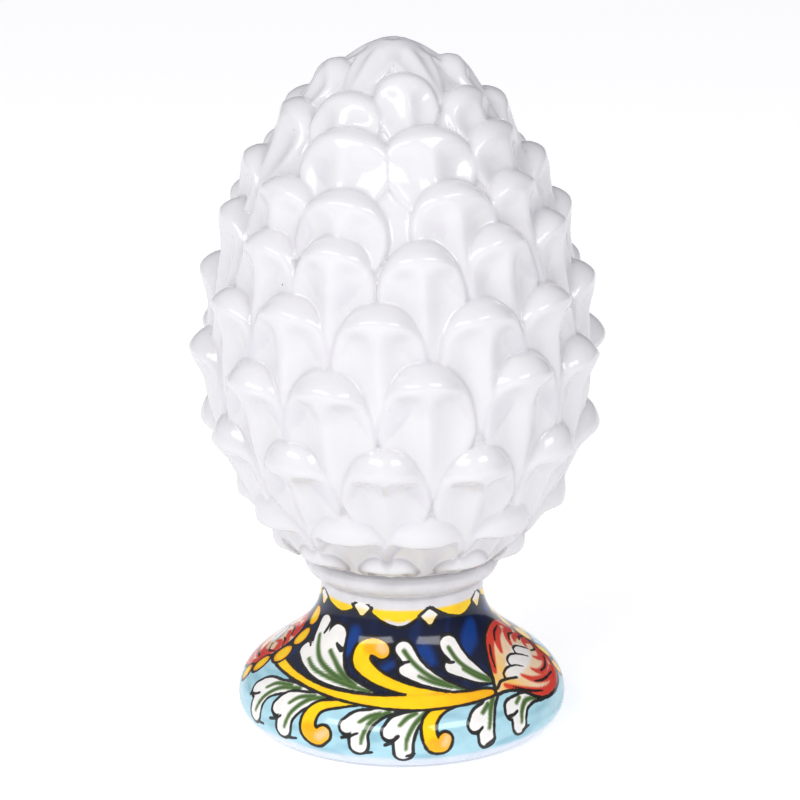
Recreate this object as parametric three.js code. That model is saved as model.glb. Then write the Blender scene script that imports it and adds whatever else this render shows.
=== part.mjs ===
// Pinecone finial: a ceramic pinecone on a bell foot, thrown and carved as one
// piece. Millimetres, +Z up. The origin is the middle of the underside, where
// the foot rests on the table. The best side faces -Y.
import * as THREE from 'three';
import { mergeGeometries, mergeVertices } from 'three/addons/utils/BufferGeometryUtils.js';

// Foot: a swelling rim that sweeps up in a bell to a narrow neck
const restRadius = 50.2;
const rimRadius = 59.5;
const rimHeight = 9;
const shoulderPull = 17;
const neckPull = 22;
const neckRadius = 29.4;
const neckHeight = 50;

// Underside: a shallow turned recess inside the ring that the foot stands on
const recessRadius = 38;
const recessDepth = 3;
const recessSlope = 2;

// Collar: a groove above the neck, then a band that flares out to the cone
const grooveGap = 5;
const grooveDepth = 0.6;
const grooveHalfHeight = 1.2;
const collarHeight = 7;
const collarRadius = 34.5;

// Cone: an egg, fullest below its middle, that the scales stand on
const bellyRadius = 69.5;
const bellyAboveCollar = 73;
const coneAboveCollar = 186;
const underFullness = 0.85;
const upperPower = 1.7;
const upperFullness = 0.55;
const leanDegrees = 0.9;

// Scales: an arch at the top, a blunt crest under it, a keel between two
// hollows down to a point. Rises are above the egg, lengths run along it
const lipRise = 1.7;
const lipWidth = 0.9;
const crestRise = 5.7;
const crestDrop = 8.6;
const hollowDepth = 2.2;
const hollowLength = 13;
const archShare = 0.42;
const handWobble = 0.12;

// Rings from the collar up. top and reach are where the arches lie and how far
// the points come down, as shares of the way up the egg. turn is the first
// scale's angle from the front, fill its share of the pitch, rise and crest
// scale its crest, stagger moves every other arch, droop lets the crest hang
const rings = [
  { count: 10, turn: -6, top: 0.085, reach: 0.085, fill: 0.8, rise: 0.5, crest: 0.5, stagger: 0, droop: 0.6 },
  { count: 10, turn: 11.5, top: 0.185, reach: 0.17, fill: 0.98, rise: 0.72, crest: 0.85, stagger: 0, droop: 0.6 },
  { count: 12, turn: -4.5, top: 0.318, reach: 0.225, fill: 1.04, rise: 0.9, crest: 1.1, stagger: 0.002, droop: 0.3 },
  { count: 12, turn: 8.5, top: 0.444, reach: 0.255, fill: 1.04, rise: 1, crest: 1, stagger: 0.003, droop: 0.1 },
  { count: 12, turn: -5.5, top: 0.546, reach: 0.23, fill: 1.04, rise: 0.95, crest: 0.95, stagger: 0, droop: 0 },
  { count: 12, turn: 8.5, top: 0.657, reach: 0.215, fill: 1.02, rise: 0.92, crest: 0.95, stagger: 0.003, droop: 0 },
  { count: 10, turn: 18.5, top: 0.742, reach: 0.2, fill: 1.04, rise: 0.84, crest: 0.9, stagger: 0.002, droop: 0 },
  { count: 8, turn: 15, top: 0.838, reach: 0.185, fill: 1.06, rise: 0.78, crest: 0.9, stagger: 0.004, droop: 0 },
  { count: 8, turn: 9, top: 0.915, reach: 0.165, fill: 1.04, rise: 0.68, crest: 0.85, stagger: 0.014, droop: 0 },
  { count: 5, turn: 36, top: 0.985, reach: 0.14, fill: 1.04, rise: 0.5, crest: 0.85, stagger: 0, droop: 0 },
];

// Fineness of the faceted solid
const sides = 48;
const rimSteps = 5;
const bellSteps = 10;
const eggSteps = 600;
const archSteps = 10;
const closest = 0.7;
const scalePoints = [
  { down: 0.45, across: [-0.6, 0, 0.6] },
  { down: 1, across: [-0.85, -0.45, 0, 0.45, 0.85] },
  { down: 1.45, across: [-0.8, -0.45, 0, 0.45, 0.8] },
  { down: 2.3, across: [-0.7, 0, 0.7] },
  { down: 3.6, across: [-0.5, 0, 0.5] },
];

// Heights of the parts of the profile, from the table up
const grooveHeight = neckHeight + grooveGap;
const eggBase = grooveHeight + collarHeight;
const bellyHeight = eggBase + bellyAboveCollar;
const eggTop = eggBase + coneAboveCollar;

// Radius of the egg at a height above the table
function eggRadius(height) {
  if (height >= bellyHeight) {
    const share = Math.min(1, (height - bellyHeight) / (eggTop - bellyHeight));
    return bellyRadius * (1 - share ** upperPower) ** upperFullness;
  }
  const share = Math.min(1, (bellyHeight - height) / bellyAboveCollar);
  return collarRadius + (bellyRadius - collarRadius) * (1 - share ** 2) ** underFullness;
}

// The egg's outline from the collar to the tip. along is the way up it, and
// spread the radius that draws it on a flat disc without bending its angles
function eggOutline() {
  const outline = [];
  let along = 0;
  let spread = 1;
  for (let i = 0; i < eggSteps; i += 1) {
    const turn = (i / eggSteps) * Math.PI;
    const height = eggBase + ((1 - Math.cos(turn)) / 2) * (eggTop - eggBase);
    const radius = eggRadius(height);
    if (i > 0) {
      const last = outline[i - 1];
      const step = Math.hypot(radius - last.radius, height - last.height);
      along += step;
      spread *= Math.exp((-2 * step) / (radius + last.radius));
    }
    outline.push({ along, radius, height, spread });
  }
  const last = outline[eggSteps - 1];
  along += Math.hypot(last.radius, eggTop - last.height);
  outline.push({ along, radius: 0, height: eggTop, spread: 0 });
  return outline;
}

const egg = eggOutline();
const eggLength = egg[eggSteps].along;

// Place, outward direction and spread on the egg's outline, a way along it
function onEgg(along) {
  let i = 1;
  while (i < eggSteps && egg[i].along < along) {
    i += 1;
  }
  const low = egg[i - 1];
  const high = egg[i];
  const step = high.along - low.along;
  const share = (along - low.along) / step;
  return {
    radius: low.radius + (high.radius - low.radius) * share,
    height: low.height + (high.height - low.height) * share,
    spread: low.spread + (high.spread - low.spread) * share,
    outward: (high.height - low.height) / step,
    upward: (low.radius - high.radius) / step,
  };
}

function smooth(low, high, value) {
  const share = Math.min(1, Math.max(0, (value - low) / (high - low)));
  return share * share * (3 - 2 * share);
}

// Every scale of every ring, with its sizes in mm and its angle
function makeScales() {
  const scales = [];
  for (const ring of rings) {
    for (let index = 0; index < ring.count; index += 1) {
      const top = eggLength * (ring.top + ring.stagger * (index % 2 ? -1 : 1));
      const length = Math.min(eggLength * ring.reach, top);
      const pitch = (2 * Math.PI * onEgg(top - archShare * length).radius) / ring.count;
      scales.push({
        top,
        length,
        angle: THREE.MathUtils.degToRad(ring.turn) + (index / ring.count) * Math.PI * 2,
        halfWidth: (pitch / 2) * ring.fill,
        crestAt: crestDrop * ring.crest,
        rise: ring.rise,
        droop: ring.droop,
      });
    }
  }
  return scales;
}

const scales = makeScales();

// Half width of a scale, as a share of its widest, a share of its length down
function outlineShare(down) {
  if (down < archShare) {
    return Math.sqrt(1 - (1 - down / archShare) ** 2);
  }
  return 1 - ((down - archShare) / (1 - archShare)) ** 1.5;
}

// Rise of one scale over the egg: down in mm from its arch, across as a share
// of its half width there
function faceRise(scale, across, down) {
  const side = Math.abs(across);
  const crest = crestRise * scale.rise;
  const lip = Math.min(lipRise, crest / 2) * (1 - smooth(0.35, 0.6, down / scale.length));
  if (down <= scale.crestAt) {
    const climb = Math.sin((Math.PI / 2) * (down / scale.crestAt));
    return lip + (crest - lip) * climb * (1 - side ** 3);
  }
  const past = (down - scale.crestAt) / (scale.length - scale.crestAt);
  const keel = crest * (1 - past) ** 1.3;
  const hollow = smooth(0, 0.35, (down - scale.crestAt) / hollowLength) * (1 - smooth(0.3, 0.9, past));
  const dip = hollowDepth * scale.rise * hollow * Math.sin(Math.PI * side) ** 2;
  return lip + (keel - lip) * (1 - side ** 1.4) - dip;
}

// Rise of the carved cone at a place on the egg, and the scale that gives it
function topRise(along, turn) {
  const radius = onEgg(along).radius;
  let best = { rise: 0, scale: null };
  for (const scale of scales) {
    const down = scale.top - along;
    const away = Math.cos(turn - scale.angle);
    if (down >= 0 && down <= scale.length && away > 0) {
      const flat = radius * Math.sin(turn - scale.angle);
      const half = scale.halfWidth * outlineShare(down / scale.length);
      if (Math.abs(flat) <= half && half > 0) {
        const rise = faceRise(scale, flat / half, down);
        if (rise > best.rise) {
          best = { rise, scale };
        }
      }
    }
  }
  return best;
}

// A place on the egg from a scale's own directions: flat across, down its face
function placeOf(scale, flat, down) {
  const along = Math.min(eggLength, Math.max(0, scale.top - down));
  const radius = Math.max(onEgg(along).radius, 1e-6);
  const sine = Math.min(0.98, Math.max(-0.98, flat / radius));
  return { along, turn: scale.angle + Math.asin(sine) };
}

// The points that draw one scale: both edges of its lip, then its face. Those
// that a lower scale covers are left out
function scaleSamples(scale) {
  const samples = [];
  const reach = archShare * scale.length;
  for (let i = 0; i <= archSteps; i += 1) {
    const turn = ((i / archSteps) * 2 - 1) * THREE.MathUtils.degToRad(84);
    const flat = scale.halfWidth * Math.sin(turn);
    const down = reach * (1 - Math.cos(turn));
    const normal = new THREE.Vector2(Math.sin(turn) / scale.halfWidth, Math.cos(turn) / reach).normalize();
    const inner = placeOf(scale, flat - 0.5 * lipWidth * normal.x, down + 0.5 * lipWidth * normal.y);
    const outer = placeOf(scale, flat + 0.5 * lipWidth * normal.x, down - 0.5 * lipWidth * normal.y);
    if (topRise(inner.along, inner.turn).scale === scale) {
      samples.push(inner, outer);
    }
  }
  for (const row of scalePoints) {
    const down = row.down * scale.crestAt;
    for (const across of row.across) {
      const flat = across * scale.halfWidth * outlineShare(Math.min(1, down / scale.length));
      const place = placeOf(scale, flat, down);
      if (down < 0.95 * scale.length && topRise(place.along, place.turn).scale === scale) {
        samples.push(place);
      }
    }
  }
  return samples;
}

// Whether a point lies inside the circle through a triangle's corners
function inCircle(a, b, c, point) {
  const ax = a.x - point.x;
  const ay = a.y - point.y;
  const bx = b.x - point.x;
  const by = b.y - point.y;
  const cx = c.x - point.x;
  const cy = c.y - point.y;
  return (ax * ax + ay * ay) * (bx * cy - cx * by)
    - (bx * bx + by * by) * (ax * cy - cx * ay)
    + (cx * cx + cy * cy) * (ax * by - bx * ay) > 0;
}

// Triangles over a flat disc, none with a point inside its circle. The first
// points are the disc's edge, the next one is its middle
function triangulate(points, edgeCount) {
  let triangles = [];
  for (let i = 0; i < edgeCount; i += 1) {
    triangles.push([edgeCount, i, (i + 1) % edgeCount]);
  }
  for (let index = edgeCount + 1; index < points.length; index += 1) {
    const edges = new Map();
    const kept = [];
    for (const triangle of triangles) {
      const [a, b, c] = triangle;
      if (!inCircle(points[a], points[b], points[c], points[index])) {
        kept.push(triangle);
      } else {
        for (const [from, to] of [[a, b], [b, c], [c, a]]) {
          if (!edges.delete(to * points.length + from)) {
            edges.set(from * points.length + to, [from, to]);
          }
        }
      }
    }
    for (const [from, to] of edges.values()) {
      kept.push([from, to, index]);
    }
    triangles = kept;
  }
  return triangles;
}

// The carved cone as one open sheet, from the collar's ring to the tip
function coneGeometry() {
  const places = [];
  const add = (place) => {
    const base = onEgg(place.along);
    const { rise, scale } = topRise(place.along, place.turn);
    const hung = onEgg(Math.max(0, place.along - (scale ? scale.droop * rise : 0)));
    const radius = hung.radius + hung.outward * rise;
    const point = new THREE.Vector3(
      radius * Math.sin(place.turn),
      -radius * Math.cos(place.turn),
      hung.height + hung.upward * rise,
    );
    if (place.along >= 0 && places.every((other) => other.point.distanceTo(point) > closest)) {
      const x = base.spread * Math.sin(place.turn);
      const y = -base.spread * Math.cos(place.turn);
      places.push({ x, y, point });
    }
  };
  for (let i = 0; i < sides; i += 1) {
    add({ along: 0, turn: (i / sides) * Math.PI * 2 });
  }
  add({ along: eggLength, turn: 0 });
  scales.flatMap(scaleSamples).forEach((place, index) => {
    const radius = onEgg(place.along).radius;
    add({
      along: place.along + handWobble * Math.sin(index * 2.4),
      turn: place.turn + (handWobble * Math.cos(index * 1.7)) / Math.max(radius, 1),
    });
  });
  const geometry = new THREE.BufferGeometry().setFromPoints(places.map((place) => place.point));
  geometry.setIndex(triangulate(places, sides).flat());
  return geometry;
}

// Foot, neck and collar as one turned sheet, from the axis out and up
function footGeometry() {
  const rim = [];
  for (let i = 1; i <= rimSteps; i += 1) {
    const turn = (i / rimSteps) * (Math.PI / 2);
    rim.push(new THREE.Vector2(
      restRadius + (rimRadius - restRadius) * Math.sin(turn),
      rimHeight * (1 - Math.cos(turn)),
    ));
  }
  const bell = new THREE.CubicBezierCurve(
    new THREE.Vector2(rimRadius, rimHeight),
    new THREE.Vector2(rimRadius, rimHeight + shoulderPull),
    new THREE.Vector2(neckRadius, neckHeight - neckPull),
    new THREE.Vector2(neckRadius, neckHeight),
  );
  const points = [
    new THREE.Vector2(0, recessDepth),
    new THREE.Vector2(recessRadius - recessSlope, recessDepth),
    new THREE.Vector2(recessRadius, 0),
    new THREE.Vector2(restRadius, 0),
    ...rim,
    ...bell.getPoints(bellSteps).slice(1),
    new THREE.Vector2(neckRadius, grooveHeight - grooveHalfHeight),
    new THREE.Vector2(neckRadius - grooveDepth, grooveHeight),
    new THREE.Vector2(neckRadius + (collarRadius - neckRadius) / 2, grooveHeight + collarHeight / 2),
    new THREE.Vector2(collarRadius, eggBase),
  ];
  const geometry = new THREE.LatheGeometry(points, sides);
  geometry.rotateX(Math.PI / 2);
  geometry.deleteAttribute('normal');
  geometry.deleteAttribute('uv');
  return geometry;
}

// The cone leans a little to one side above the collar, as fired
function leanCone(geometry) {
  const slope = Math.tan(THREE.MathUtils.degToRad(leanDegrees));
  const position = geometry.attributes.position;
  for (let i = 0; i < position.count; i += 1) {
    const above = Math.max(0, position.getZ(i) - eggBase);
    position.setX(i, position.getX(i) - above * slope);
  }
  return geometry;
}

// Drops the flat triangles that a turned sheet has where it meets the axis
function withoutFlats(geometry) {
  const index = geometry.index.array;
  const kept = [];
  for (let i = 0; i < index.length; i += 3) {
    const [a, b, c] = index.slice(i, i + 3);
    if (a !== b && b !== c && c !== a) {
      kept.push(a, b, c);
    }
  }
  geometry.setIndex(kept);
  return geometry;
}

const sheets = mergeGeometries([footGeometry(), coneGeometry()]);
const body = leanCone(withoutFlats(mergeVertices(sheets, 1e-3)));
body.computeVertexNormals();
const glaze = new THREE.MeshStandardMaterial({ color: 0xf2f1f3, roughness: 0.12, metalness: 0 });
const finial = new THREE.Mesh(body, glaze);
finial.name = 'pinecone_finial';

const model = new THREE.Group();
model.add(finial);

export default model;
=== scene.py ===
import math

import bpy
import numpy as np
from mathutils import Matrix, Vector
from mathutils.geometry import delaunay_2d_cdt
from mathutils.kdtree import KDTree


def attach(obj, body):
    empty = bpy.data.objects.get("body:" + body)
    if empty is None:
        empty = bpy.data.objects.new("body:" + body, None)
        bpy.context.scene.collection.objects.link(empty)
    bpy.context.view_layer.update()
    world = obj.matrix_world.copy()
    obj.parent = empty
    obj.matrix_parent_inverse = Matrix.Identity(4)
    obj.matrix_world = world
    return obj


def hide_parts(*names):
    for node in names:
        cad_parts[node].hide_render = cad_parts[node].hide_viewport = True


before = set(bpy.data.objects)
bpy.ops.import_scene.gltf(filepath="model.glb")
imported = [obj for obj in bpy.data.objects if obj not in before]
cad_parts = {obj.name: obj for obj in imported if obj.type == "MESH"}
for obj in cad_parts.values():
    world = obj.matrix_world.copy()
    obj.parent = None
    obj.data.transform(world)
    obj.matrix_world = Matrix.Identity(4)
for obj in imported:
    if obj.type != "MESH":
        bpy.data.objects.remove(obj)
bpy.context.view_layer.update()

bl_info = {
    "name": "Pinecone finial",
    "version": (1, 0, 0),
    "blender": (4, 5, 0),
    "location": "View3D > Sidebar > Finial",
    "description": "A glazed pinecone on a painted bell foot",
    "category": "Object",
}

MM = 0.001
NODE = "pinecone_finial"

# Rings of scales from the collar up. top and reach are where the arches lie and how
# far the points come down, as shares of the way up the egg. turn is the first scale's
# angle from the front, fill its share of the pitch, rise and crest scale its crest,
# stagger moves every other arch, droop lets the crest hang, beak is the share of the
# rise that falls away just under it
RING_NAMES = ("count", "turn", "top", "reach", "fill", "rise", "crest", "stagger", "droop", "beak")
RINGS = [dict(zip(RING_NAMES, row)) for row in (
    (10, -6, 0.085, 0.085, 0.8, 0.42, 0.5, 0, 0.6, 0.8),
    (10, 11.5, 0.185, 0.17, 0.96, 0.64, 0.85, 0, 0.5, 0.77),
    (12, -4.5, 0.318, 0.225, 0.99, 0.86, 1.05, 0.002, 0.1, 0.6),
    (12, 8.5, 0.444, 0.255, 1.0, 0.98, 1.0, 0.003, 0.1, 0.58),
    (12, -5.5, 0.546, 0.23, 1.0, 0.94, 0.95, 0, 0, 0.52),
    (12, 8.5, 0.657, 0.215, 0.99, 0.89, 0.95, 0.003, 0, 0.5),
    (10, 18.5, 0.742, 0.2, 0.99, 0.81, 0.9, 0.002, 0, 0.48),
    (8, 15, 0.838, 0.185, 1.0, 0.72, 0.9, 0.004, 0, 0.48),
    (8, 9, 0.915, 0.165, 1.0, 0.61, 0.85, 0.014, 0, 0.48),
    (5, 36, 1.01, 0.165, 1.02, 0.42, 0.85, 0, 0, 0.4),
)]

# Scales moved one by one on the best side: ring and number, then degrees round and mm down
MOVED = {
    (1, 0): (0, -2), (1, 9): (2, -2), (1, 1): (0, -2),
    (2, 8): (6, 0), (2, 9): (4, 0), (2, 0): (-3, 0), (2, 1): (-6, 0),
    (4, 10): (3, 3.5), (4, 0): (0, -2.3), (4, 1): (2, -3),
    (5, 10): (3, 3.5), (5, 1): (3, 0),
    (6, 10): (2, 5), (6, 11): (0, 2), (6, 0): (0, 4.5), (6, 2): (0, 2),
    (7, 8): (4, 4.5), (7, 9): (-3, 5), (7, 0): (5, 3), (7, 1): (0, 2.5),
    (8, 7): (6, 4), (8, 0): (2, 4.5), (8, 1): (0, 5),
    (9, 7): (5, 5), (9, 0): (0, 2), (9, 1): (3, 5),
}


def linear(code):
    """Linear red, green, blue of an sRGB hex code."""
    parts = [int(code[i:i + 2], 16) / 255 for i in (0, 2, 4)]
    return tuple(p / 12.92 if p <= 0.04045 else ((p + 0.055) / 1.055) ** 2.4 for p in parts)


def metres(name, about, default):
    """A setting in metres."""
    return bpy.props.FloatProperty(
        name=name, description=about, default=default, min=0.0, unit="LENGTH")


def tint(name, about, code):
    """A setting that holds a colour."""
    return bpy.props.FloatVectorProperty(
        name=name, description=about, size=3, default=linear(code), min=0.0, max=1.0,
        subtype="COLOR")


class FinialConeSettings(bpy.types.PropertyGroup):
    """Sizes and colours of the carved cone"""

    base_height: metres("Base height", "Height of the cone's lowest edge above the table", 62 * MM)
    collar_radius: metres(
        "Base radius", "Radius of the cone where it leaves the collar", 34.5 * MM)
    belly_radius: metres(
        "Belly radius", "Radius of the egg under the scales at its fullest", 67 * MM)
    belly_above: metres("Belly height", "Height of the fullest ring above the collar", 73 * MM)
    cone_above: metres("Cone height", "Height of the egg's tip above the collar", 186 * MM)
    lean: bpy.props.FloatProperty(
        name="Lean", description="How far the cone leans to one side, as fired",
        default=math.radians(0.9), subtype="ANGLE")
    lip_rise: metres("Lip rise", "Height of the step along the edge of a scale", 1.5 * MM)
    crest_rise: metres("Crest rise", "Height of a scale's blunt crest above the egg", 8.4 * MM)
    crest_drop: metres(
        "Crest drop", "Distance from the top of a scale down to its crest", 8.6 * MM)
    hollow_depth: metres("Hollow depth", "Depth of the two hollows beside the keel", 2.6 * MM)
    point_spacing: metres(
        "Point spacing", "Distance between the mesh's points on the faces", 1.08 * MM)
    glaze_colour: tint("Glaze", "Colour of the white glaze", "dddcde")
    # Painted shade: the cool grey that the glaze is painted with in the creases
    crease_shade_colour: tint("Glaze in creases", "Colour of the glaze where it pools", "c8c5d0")
    # Painted shade: the brown-grey that the lowest crevices are painted with
    crevice_shade_colour: tint("Lowest crevices", "Colour deep in the lowest crevices", "8d8783")


class FinialFootSettings(bpy.types.PropertyGroup):
    """Sizes and colours of the painted foot"""

    rest_radius: metres(
        "Rest radius", "Outer radius of the ring that the foot stands on", 50.2 * MM)
    rim_radius: metres("Rim radius", "Radius of the foot at its widest", 59.5 * MM)
    rim_height: metres("Rim height", "Height of the widest ring above the table", 9 * MM)
    shoulder_pull: metres("Shoulder pull", "How far the rim keeps its width upwards", 17 * MM)
    neck_pull: metres("Neck pull", "How far the neck keeps its width downwards", 22 * MM)
    neck_radius: metres("Neck radius", "Radius of the neck at its narrowest", 29.4 * MM)
    neck_height: metres("Neck height", "Height of the top of the bell", 50 * MM)
    collar_radius: metres("Collar radius", "Radius of the collar at its widest", 35.4 * MM)
    line_width: metres("Line width", "Width of the painted dark lines", 1.2 * MM)
    sides: bpy.props.IntProperty(
        name="Sides", description="Points round the foot", default=600, min=24)
    white: tint("White", "Colour of the glaze left bare in the painting", "efedea")
    cobalt: tint("Cobalt", "Colour of the field above the scroll", "0a1536")
    turquoise: tint("Turquoise", "Colour of the field under the scroll", "b1d7e2")
    yellow: tint("Yellow", "Colour of the scroll and the swags", "fad300")
    orange: tint("Orange", "Colour that shades the yellow", "f0a006")
    green: tint("Green", "Colour of the veins in the leaves", "688549")
    red: tint("Red", "Colour of the flames in the flower", "da3422")
    ink: tint("Lines", "Colour of the dark lines", "14110f")


class FinialStageSettings(bpy.types.PropertyGroup):
    """Camera and floor"""

    camera_distance: metres("Camera distance", "Distance from the camera to the finial", 1.45)
    camera_height: bpy.props.FloatProperty(
        name="Camera angle", description="Angle of the camera above the horizon",
        default=math.radians(17.32), subtype="ANGLE")
    lens: bpy.props.FloatProperty(
        name="Lens", description="Focal length", default=182.7, unit="CAMERA")
    floor_colour: bpy.props.FloatVectorProperty(
        name="Floor colour", description="Colour of the plain floor", size=3,
        default=(0.96, 0.96, 0.965), subtype="COLOR")


def rgba(code):
    """Linear colour with full alpha of an sRGB hex code."""
    return (*linear(code), 1.0)


def add_node(tree, kind, inputs=None, **settings):
    """Adds a node with its settings, and its inputs as values or as sockets to link."""
    node = tree.nodes.new(kind)
    for name, value in settings.items():
        setattr(node, name, value)
    for key, value in (inputs or {}).items():
        if isinstance(value, bpy.types.NodeSocket):
            tree.links.new(value, node.inputs[key])
        else:
            node.inputs[key].default_value = value
    return node


def smooth(low, high, value):
    """0 below low, 1 above high and an even curve between."""
    share = np.clip((value - low) / (high - low), 0, 1)
    return share * share * (3 - 2 * share)


# Carved cone

EGG_STEPS = 900
UNDER_FULLNESS = 0.85
UPPER_POWER = 1.7
UPPER_FULLNESS = 0.55
ARCH_SHARE = 0.45
ROOT_HEIGHT = 2.2 * MM
ROOT_SLOPE = 2.2
TAIL_POWER = 1.5


class Egg:
    """The egg under the scales: its outline from the collar to the tip."""

    def __init__(self, sizes):
        base = sizes.base_height
        belly = base + sizes.belly_above
        top = base + sizes.cone_above
        turn = np.linspace(0, math.pi, EGG_STEPS + 1)
        height = base + (1 - np.cos(turn)) / 2 * (top - base)
        up = np.clip((height - belly) / (top - belly), 0, 1)
        down = np.clip((belly - height) / sizes.belly_above, 0, 1)
        upper = sizes.belly_radius * (1 - up ** UPPER_POWER) ** UPPER_FULLNESS
        spare = sizes.belly_radius - sizes.collar_radius
        lower = sizes.collar_radius + spare * (1 - down ** 2) ** UNDER_FULLNESS
        root = sizes.collar_radius + np.maximum(0, height - base - ROOT_HEIGHT) * ROOT_SLOPE
        lower = np.minimum(lower, root)
        self.radius = np.where(height >= belly, upper, lower)
        self.height = height
        step = np.hypot(np.diff(self.radius), np.diff(height))
        middle = (self.radius[1:] + self.radius[:-1]) / 2
        self.along = np.concatenate([[0], np.cumsum(step)])
        self.shrink = np.concatenate([[0], np.cumsum(step / middle)])
        self.outward = np.gradient(height, self.along)
        self.upward = -np.gradient(self.radius, self.along)
        self.length = self.along[-1]

    def at(self, name, along):
        return np.interp(along, self.along, getattr(self, name))

    def point(self, along, turn, rise, droop):
        """Points over the egg, hung down by droop times their rise."""
        hung = np.maximum(0, along - droop * rise)
        size = np.hypot(self.at("outward", hung), self.at("upward", hung))
        radius = self.at("radius", hung) + self.at("outward", hung) / size * rise
        height = self.at("height", hung) + self.at("upward", hung) / size * rise
        return np.stack([radius * np.sin(turn), -radius * np.cos(turn), height], axis=1)


def make_scales(egg, sizes):
    """Every scale of every ring, with its sizes and its angle."""
    scales = []
    for number, ring in enumerate(RINGS, start=1):
        for index in range(ring["count"]):
            sign = -1 if index % 2 else 1
            more_turn, more_down = MOVED.get((number, index), (0, 0))
            top = egg.length * (ring["top"] + ring["stagger"] * sign) - more_down * MM
            length = min(egg.length * ring["reach"], top)
            pitch = 2 * math.pi * egg.at("radius", top - ARCH_SHARE * length) / ring["count"]
            scales.append(dict(
                top=top, length=length, arch=ARCH_SHARE * length,
                angle=math.radians(ring["turn"] + more_turn) + index / ring["count"] * 2 * math.pi,
                half=pitch / 2 * ring["fill"], crest_at=sizes.crest_drop * ring["crest"],
                rise=ring["rise"], droop=ring["droop"], beak=ring["beak"]))
    return scales


def inside_distance(scale, flat, down):
    """Distance in from a scale's outline, and the half width of the scale there."""
    half, arch = scale["half"], scale["arch"]
    side = np.abs(flat)
    up = 1 - down / arch
    ring = np.sqrt((side / half) ** 2 + up ** 2)
    slope = np.sqrt((side / half ** 2) ** 2 + (up / arch) ** 2) / np.maximum(ring, 1e-6)
    in_arch = (1 - ring) / np.maximum(slope, 1e-6)
    past = np.clip((down - arch) / (scale["length"] - arch), 0, 1)
    width = np.where(down < arch, half * np.sqrt(np.clip(1 - np.clip(up, 0, 1) ** 2, 0, 1)),
                     half * (1 - past ** TAIL_POWER))
    lean = half * TAIL_POWER * past ** (TAIL_POWER - 1) / (scale["length"] - arch)
    in_tail = (width - side) / np.sqrt(1 + lean ** 2)
    return np.where(down < arch, in_arch, in_tail), width


EDGE_WIDTH = 2.4 * MM
EDGE_DEPTH = 0.9 * MM
BLEND = 0.45 * MM
WIDE_BLEND = 4 * BLEND
NARROWEST = 0.2 * MM
BUMP_START = -2 * MM
BEAK_LENGTH = 21 * MM
BEAK_LIMIT = 1.15
KEEL_POWER = 0.9
LIP_SHARE = (0.42, 0.75)
FACE_BLUNTNESS = 3.0
FACE_SHARPENING = 1.75
SHARPENED_AT = (-1 * MM, 9 * MM)
HOLLOW_TOP = 6 * MM
HOLLOW_END = (0.3, 0.9)
HOLLOW_LEAN = 0.85
CREST_SLOPE = 0.9
CREST_SOFTNESS = 0.5 * MM


def scale_rise(scale, flat, down, sizes):
    """Rise of one scale over the egg, its edge rounded over."""
    inside, width = inside_distance(scale, flat, down)
    side = np.clip(np.abs(flat) / np.maximum(width, NARROWEST), 0, 1)
    crest = sizes.crest_rise * scale["rise"]
    lip = min(sizes.lip_rise, crest / 2) * (1 - smooth(*LIP_SHARE, down / scale["length"]))
    climb = np.sin(math.pi / 2 * np.clip(inside / scale["crest_at"], 0, 1))
    cap = lip + (crest - lip) * climb
    below = down - scale["crest_at"]
    past = np.clip(below / (scale["length"] - scale["crest_at"]), 0, 1)
    beak = scale["beak"]
    bump = 1 - smooth(BUMP_START, BEAK_LENGTH * (BEAK_LIMIT - beak), below)
    keel = crest * (beak * bump + (1 - beak) * (1 - past) ** KEEL_POWER)
    bluntness = FACE_BLUNTNESS - FACE_SHARPENING * smooth(*SHARPENED_AT, below)
    hollow = smooth(0, HOLLOW_TOP, below) * (1 - smooth(*HOLLOW_END, past))
    dip = sizes.hollow_depth * scale["rise"] * hollow * np.sin(math.pi * side ** HOLLOW_LEAN) ** 2
    face = lip + (keel - lip) * (1 - side ** bluntness) - dip
    face = face + np.where(below < 0, -below * CREST_SLOPE, 0)
    rise = -CREST_SOFTNESS * np.logaddexp(-cap / CREST_SOFTNESS, -face / CREST_SOFTNESS)
    over = np.clip(inside / EDGE_WIDTH, 0, 1)
    edge = np.sqrt(1 - (1 - over) ** 2)
    return rise - (rise + EDGE_DEPTH) * (1 - edge)


def cone_field(egg, scales, along, turn, sizes):
    """Rise over the egg, the top scale, its droop and how far down in a crease."""
    total = np.full(along.shape, math.exp(-EDGE_DEPTH / BLEND))
    wide = np.full(along.shape, math.exp(-EDGE_DEPTH / WIDE_BLEND))
    best = np.full(along.shape, -EDGE_DEPTH)
    owner = np.full(along.shape, -1)
    droop = np.zeros(along.shape)
    radius = egg.at("radius", along)
    for number, scale in enumerate(scales):
        down = scale["top"] - along
        away = turn - scale["angle"]
        near = (down >= 0) & (down <= scale["length"]) & (np.cos(away) > 0)
        near &= np.abs(radius * np.sin(away)) < scale["half"]
        index = np.nonzero(near)[0]
        flat = radius[index] * np.sin(away[index])
        inside, _ = inside_distance(scale, flat, down[index])
        keep = inside > 0
        index, flat = index[keep], flat[keep]
        rise = scale_rise(scale, flat, down[index], sizes)
        total[index] += np.exp(rise / BLEND)
        wide[index] += np.exp(rise / WIDE_BLEND)
        higher = rise > best[index]
        best[index[higher]] = rise[higher]
        owner[index[higher]] = number
        droop[index[higher]] = scale["droop"]
    rise = BLEND * np.log(total)
    crease = 1 - np.exp(best / WIDE_BLEND) / wide
    return rise, owner, droop, crease


# Rows of points along a scale's edge, in mm inwards, and their points' spacing in mm
OUTLINE_ROWS = (-0.7, 0.05, 0.5, 1.15, 2.0)
OUTLINE_STEP = 0.85
SHOWN_AT = 1.0
ARCH_POINTS = 240
TAIL_POINTS = 60
TAIL_SHOWN = 0.7
WIDEST_SINE = 0.97
CLOSEST = 0.36
ROW_SPACING = 0.866


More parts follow.
